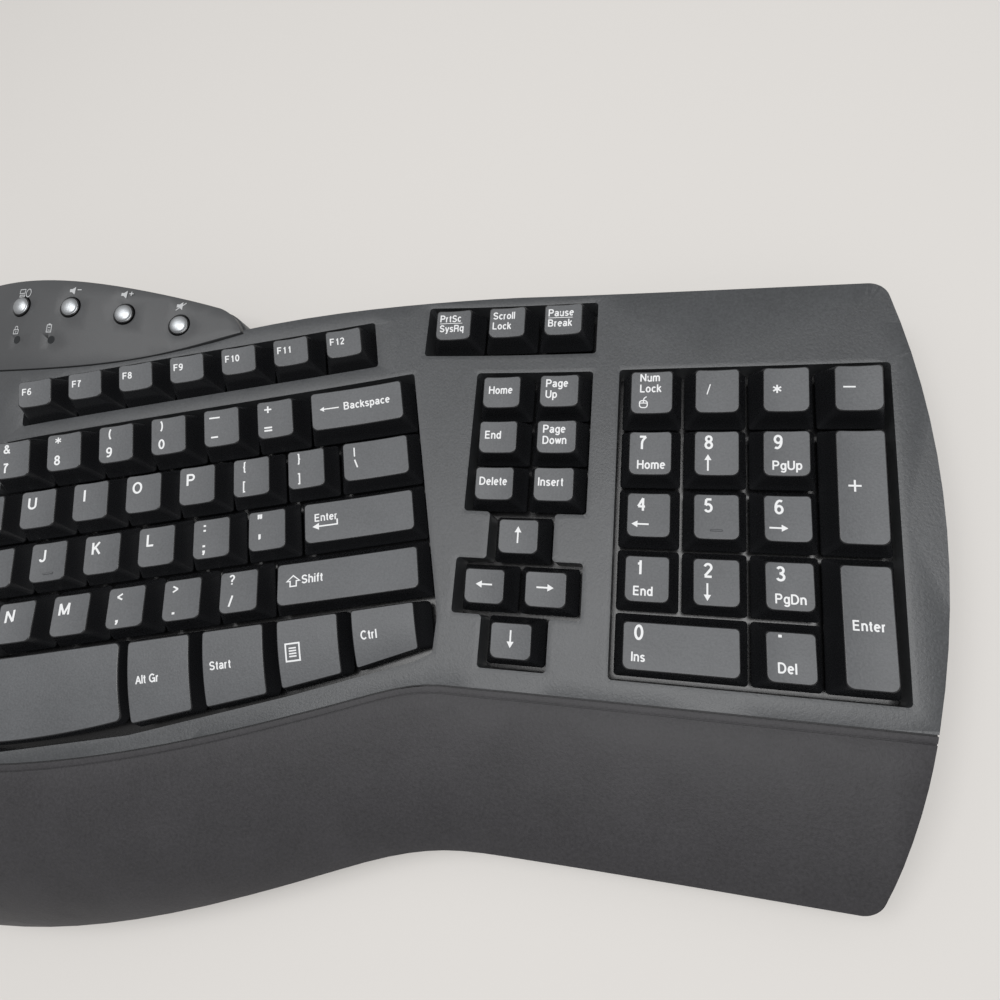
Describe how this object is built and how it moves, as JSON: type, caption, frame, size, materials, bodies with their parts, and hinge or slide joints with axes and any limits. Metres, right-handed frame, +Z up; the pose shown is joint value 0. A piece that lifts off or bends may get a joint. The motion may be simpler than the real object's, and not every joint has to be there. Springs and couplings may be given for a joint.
{
  "type": "ergonomic split keyboard",
  "caption": "Dark grey split keyboard with a tented key field, curved palm rest, raised media button strip, arrow cluster and number pad.",
  "frame": {"origin": "centre of the bounding box in plan, on the plane under the rubber feet", "axes": "+X runs to the number pad side, +Y to the rear, +Z up"},
  "size_m": [0.5024, 0.2312, 0.0512],
  "materials": {
    "case": "fine spark-eroded texture, dark grey",
    "palm": "fine texture, dark grey",
    "panel": "smooth satin, dark grey",
    "key": "grainy matte top, near-black glossy skirt, off-white legends",
    "satin_silver": "satin silver",
    "lens": "dark smoked",
    "frame_black": "black",
    "base_plastic": "black",
    "film": "translucent film",
    "silicone": "soft pale rubber",
    "steel": "bare",
    "board": "green solder mask",
    "cell": "sleeved",
    "contact": "plated",
    "foot_rubber": "matte"
  },
  "bodies": {
    "body": {"backing_plates": "steel", "battery_cells": "cell", "battery_contacts": "contact", "bottom_case": "base_plastic", "case_screws": "steel", "controller_board": "board", "indicator_lenses": "lens", "key_frame": "frame_black", "media_panel": "panel", "media_switch_board": "board", "membranes": "film", "palm_rest": "palm", "rubber_domes": "silicone", "rubber_feet": "foot_rubber", "top_case": "case"},
    "escape_key": {"escape_key": "key"},
    "keys_f_left": {"keys_f_left": "key"},
    "keys_number_left": {"keys_number_left": "key"},
    "tab_key": {"tab_key": "key"},
    "keys_upper_left": {"keys_upper_left": "key"},
    "caps_lock_key": {"caps_lock_key": "key"},
    "keys_home_left": {"keys_home_left": "key"},
    "shift_key_left": {"shift_key_left": "key"},
    "keys_lower_left": {"keys_lower_left": "key"},
    "control_key_left": {"control_key_left": "key"},
    "start_key_left": {"start_key_left": "key"},
    "alt_key_left": {"alt_key_left": "key"},
    "keys_f_right": {"keys_f_right": "key"},
    "keys_number_right": {"keys_number_right": "key"},
    "backspace_key": {"backspace_key": "key"},
    "keys_upper_right": {"keys_upper_right": "key"},
    "backslash_key": {"backslash_key": "key"},
    "keys_home_right": {"keys_home_right": "key"},
    "enter_key": {"enter_key": "key"},
    "keys_lower_right": {"keys_lower_right": "key"},
    "shift_key_right": {"shift_key_right": "key"},
    "alt_key_right": {"alt_key_right": "key"},
    "start_key_right": {"start_key_right": "key"},
    "menu_key": {"menu_key": "key"},
    "control_key_right": {"control_key_right": "key"},
    "keys_system": {"keys_system": "key"},
    "keys_navigation": {"keys_navigation": "key"},
    "keys_arrow": {"keys_arrow": "key"},
    "keys_pad_top": {"keys_pad_top": "key"},
    "keys_pad_digits": {"keys_pad_digits": "key"},
    "pad_zero_key": {"pad_zero_key": "key"},
    "pad_plus_key": {"pad_plus_key": "key"},
    "pad_enter_key": {"pad_enter_key": "key"},
    "space_bar": {"space_bar": "key"},
    "media_button_stop": {"media_button_stop": "satin_silver"},
    "media_button_play": {"media_button_play": "satin_silver"},
    "media_button_next": {"media_button_next": "satin_silver"},
    "media_button_device": {"media_button_device": "satin_silver"},
    "media_button_softer": {"media_button_softer": "satin_silver"},
    "media_button_louder": {"media_button_louder": "satin_silver"},
    "media_button_mute": {"media_button_mute": "satin_silver"},
    "battery_door": {"battery_door": "base_plastic"},
    "tilt_leg_left": {"tilt_leg_left": "base_plastic"},
    "tilt_leg_right": {"tilt_leg_right": "base_plastic"},
    "power_switch": {"power_switch": "base_plastic"}
  },
  "joints": [
    {"name": "escape_key_press", "type": "slide", "parent": "body", "child": "escape_key", "axis": [0.1461, 0, -0.9893], "range_m": [0, 0.0035], "stiffness_N_per_m": 170, "springref_m": -0.002},
    {"name": "keys_f_left_press", "type": "slide", "parent": "body", "child": "keys_f_left", "axis": [0.1461, 0, -0.9893], "range_m": [0, 0.0035], "stiffness_N_per_m": 170, "springref_m": -0.002},
    {"name": "keys_number_left_press", "type": "slide", "parent": "body", "child": "keys_number_left", "axis": [0.1461, 0, -0.9893], "range_m": [0, 0.0035], "stiffness_N_per_m": 170, "springref_m": -0.002},
    {"name": "tab_key_press", "type": "slide", "parent": "body", "child": "tab_key", "axis": [0.1461, 0, -0.9893], "range_m": [0, 0.0035], "stiffness_N_per_m": 170, "springref_m": -0.002},
    {"name": "keys_upper_left_press", "type": "slide", "parent": "body", "child": "keys_upper_left", "axis": [0.1461, 0, -0.9893], "range_m": [0, 0.0035], "stiffness_N_per_m": 170, "springref_m": -0.002},
    {"name": "caps_lock_key_press", "type": "slide", "parent": "body", "child": "caps_lock_key", "axis": [0.1461, 0, -0.9893], "range_m": [0, 0.0035], "stiffness_N_per_m": 170, "springref_m": -0.002},
    {"name": "keys_home_left_press", "type": "slide", "parent": "body", "child": "keys_home_left", "axis": [0.1461, 0, -0.9893], "range_m": [0, 0.0035], "stiffness_N_per_m": 170, "springref_m": -0.002},
    {"name": "shift_key_left_press", "type": "slide", "parent": "body", "child": "shift_key_left", "axis": [0.1461, 0, -0.9893], "range_m": [0, 0.0035], "stiffness_N_per_m": 170, "springref_m": -0.002},
    {"name": "keys_lower_left_press", "type": "slide", "parent": "body", "child": "keys_lower_left", "axis": [0.1461, 0, -0.9893], "range_m": [0, 0.0035], "stiffness_N_per_m": 170, "springref_m": -0.002},
    {"name": "control_key_left_press", "type": "slide", "parent": "body", "child": "control_key_left", "axis": [0.1461, 0, -0.9893], "range_m": [0, 0.0035], "stiffness_N_per_m": 170, "springref_m": -0.002},
    {"name": "start_key_left_press", "type": "slide", "parent": "body", "child": "start_key_left", "axis": [0.1461, 0, -0.9893], "range_m": [0, 0.0035], "stiffness_N_per_m": 170, "springref_m": -0.002},
    {"name": "alt_key_left_press", "type": "slide", "parent": "body", "child": "alt_key_left", "axis": [0.1461, 0, -0.9893], "range_m": [0, 0.0035], "stiffness_N_per_m": 170, "springref_m": -0.002},
    {"name": "keys_f_right_press", "type": "slide", "parent": "body", "child": "keys_f_right", "axis": [-0.1461, 0, -0.9893], "range_m": [0, 0.0035], "stiffness_N_per_m": 170, "springref_m": -0.002},
    {"name": "keys_number_right_press", "type": "slide", "parent": "body", "child": "keys_number_right", "axis": [-0.1461, 0, -0.9893], "range_m": [0, 0.0035], "stiffness_N_per_m": 170, "springref_m": -0.002},
    {"name": "backspace_key_press", "type": "slide", "parent": "body", "child": "backspace_key", "axis": [-0.1461, 0, -0.9893], "range_m": [0, 0.0035], "stiffness_N_per_m": 170, "springref_m": -0.002},
    {"name": "keys_upper_right_press", "type": "slide", "parent": "body", "child": "keys_upper_right", "axis": [-0.1461, 0, -0.9893], "range_m": [0, 0.0035], "stiffness_N_per_m": 170, "springref_m": -0.002},
    {"name": "backslash_key_press", "type": "slide", "parent": "body", "child": "backslash_key", "axis": [-0.1461, 0, -0.9893], "range_m": [0, 0.0035], "stiffness_N_per_m": 170, "springref_m": -0.002},
    {"name": "keys_home_right_press", "type": "slide", "parent": "body", "child": "keys_home_right", "axis": [-0.1461, 0, -0.9893], "range_m": [0, 0.0035], "stiffness_N_per_m": 170, "springref_m": -0.002},
    {"name": "enter_key_press", "type": "slide", "parent": "body", "child": "enter_key", "axis": [-0.1461, 0, -0.9893], "range_m": [0, 0.0035], "stiffness_N_per_m": 170, "springref_m": -0.002},
    {"name": "keys_lower_right_press", "type": "slide", "parent": "body", "child": "keys_lower_right", "axis": [-0.1461, 0, -0.9893], "range_m": [0, 0.0035], "stiffness_N_per_m": 170, "springref_m": -0.002},
    {"name": "shift_key_right_press", "type": "slide", "parent": "body", "child": "shift_key_right", "axis": [-0.1461, 0, -0.9893], "range_m": [0, 0.0035], "stiffness_N_per_m": 170, "springref_m": -0.002},
    {"name": "alt_key_right_press", "type": "slide", "parent": "body", "child": "alt_key_right", "axis": [-0.1461, 0, -0.9893], "range_m": [0, 0.0035], "stiffness_N_per_m": 170, "springref_m": -0.002},
    {"name": "start_key_right_press", "type": "slide", "parent": "body", "child": "start_key_right", "axis": [-0.1461, 0, -0.9893], "range_m": [0, 0.0035], "stiffness_N_per_m": 170, "springref_m": -0.002},
    {"name": "menu_key_press", "type": "slide", "parent": "body", "child": "menu_key", "axis": [-0.1461, 0, -0.9893], "range_m": [0, 0.0035], "stiffness_N_per_m": 170, "springref_m": -0.002},
    {"name": "control_key_right_press", "type": "slide", "parent": "body", "child": "control_key_right", "axis": [-0.1461, 0, -0.9893], "range_m": [0, 0.0035], "stiffness_N_per_m": 170, "springref_m": -0.002},
    {"name": "keys_system_press", "type": "slide", "parent": "body", "child": "keys_system", "axis": [0, 0.0349, -0.9994], "range_m": [0, 0.0035], "stiffness_N_per_m": 170, "springref_m": -0.002},
    {"name": "keys_navigation_press", "type": "slide", "parent": "body", "child": "keys_navigation", "axis": [0, 0.0349, -0.9994], "range_m": [0, 0.0035], "stiffness_N_per_m": 170, "springref_m": -0.002},
    {"name": "keys_arrow_press", "type": "slide", "parent": "body", "child": "keys_arrow", "axis": [0, 0.0349, -0.9994], "range_m": [0, 0.0035], "stiffness_N_per_m": 170, "springref_m": -0.002},
    {"name": "keys_pad_top_press", "type": "slide", "parent": "body", "child": "keys_pad_top", "axis": [0, 0.0349, -0.9994], "range_m": [0, 0.0035], "stiffness_N_per_m": 170, "springref_m": -0.002},
    {"name": "keys_pad_digits_press", "type": "slide", "parent": "body", "child": "keys_pad_digits", "axis": [0, 0.0349, -0.9994], "range_m": [0, 0.0035], "stiffness_N_per_m": 170, "springref_m": -0.002},
    {"name": "pad_zero_key_press", "type": "slide", "parent": "body", "child": "pad_zero_key", "axis": [0, 0.0349, -0.9994], "range_m": [0, 0.0035], "stiffness_N_per_m": 170, "springref_m": -0.002},
    {"name": "pad_plus_key_press", "type": "slide", "parent": "body", "child": "pad_plus_key", "axis": [0, 0.0349, -0.9994], "range_m": [0, 0.0035], "stiffness_N_per_m": 170, "springref_m": -0.002},
    {"name": "pad_enter_key_press", "type": "slide", "parent": "body", "child": "pad_enter_key", "axis": [0, 0.0349, -0.9994], "range_m": [0, 0.0035], "stiffness_N_per_m": 170, "springref_m": -0.002},
    {"name": "space_bar_press", "type": "slide", "parent": "body", "child": "space_bar", "axis": [0, 0, -1], "range_m": [0, 0.0035], "stiffness_N_per_m": 170, "springref_m": -0.002},
    {"name": "media_button_stop_press", "type": "slide", "parent": "body", "child": "media_button_stop", "axis": [0.1712, 0.0608, -0.9834], "range_m": [0, 0.0008], "stiffness_N_per_m": 500, "springref_m": -0.0008},
    {"name": "media_button_play_press", "type": "slide", "parent": "body", "child": "media_button_play", "axis": [0.1619, 0.0668, -0.9845], "range_m": [0, 0.0008], "stiffness_N_per_m": 500, "springref_m": -0.0008},
    {"name": "media_button_next_press", "type": "slide", "parent": "body", "child": "media_button_next", "axis": [0.1225, 0.0707, -0.9899], "range_m": [0, 0.0008], "stiffness_N_per_m": 500, "springref_m": -0.0008},
    {"name": "media_button_device_press", "type": "slide", "parent": "body", "child": "media_button_device", "axis": [0, 0.0725, -0.9974], "range_m": [0, 0.0008], "stiffness_N_per_m": 500, "springref_m": -0.0008},
    {"name": "media_button_softer_press", "type": "slide", "parent": "body", "child": "media_button_softer", "axis": [-0.1225, 0.0707, -0.9899], "range_m": [0, 0.0008], "stiffness_N_per_m": 500, "springref_m": -0.0008},
    {"name": "media_button_louder_press", "type": "slide", "parent": "body", "child": "media_button_louder", "axis": [-0.1619, 0.0668, -0.9845], "range_m": [0, 0.0008], "stiffness_N_per_m": 500, "springref_m": -0.0008},
    {"name": "media_button_mute_press", "type": "slide", "parent": "body", "child": "media_button_mute", "axis": [-0.1712, 0.0608, -0.9834], "range_m": [0, 0.0008], "stiffness_N_per_m": 500, "springref_m": -0.0008},
    {"name": "battery_door_slide", "type": "slide", "parent": "body", "child": "battery_door", "axis": [0, 1, 0], "range_m": [0, 0.008]},
    {"name": "tilt_leg_left_fold", "type": "hinge", "parent": "body", "child": "tilt_leg_left", "pos_m": [-0.2102, 0.0987, 0.0034], "axis": [1, 0, 0], "range_deg": [0, 75]},
    {"name": "tilt_leg_right_fold", "type": "hinge", "parent": "body", "child": "tilt_leg_right", "pos_m": [0.1968, 0.1007, 0.0034], "axis": [1, 0, 0], "range_deg": [0, 75]},
    {"name": "power_switch_slide", "type": "slide", "parent": "body", "child": "power_switch", "axis": [1, 0, 0], "range_m": [0, 0.002]}
  ]
}
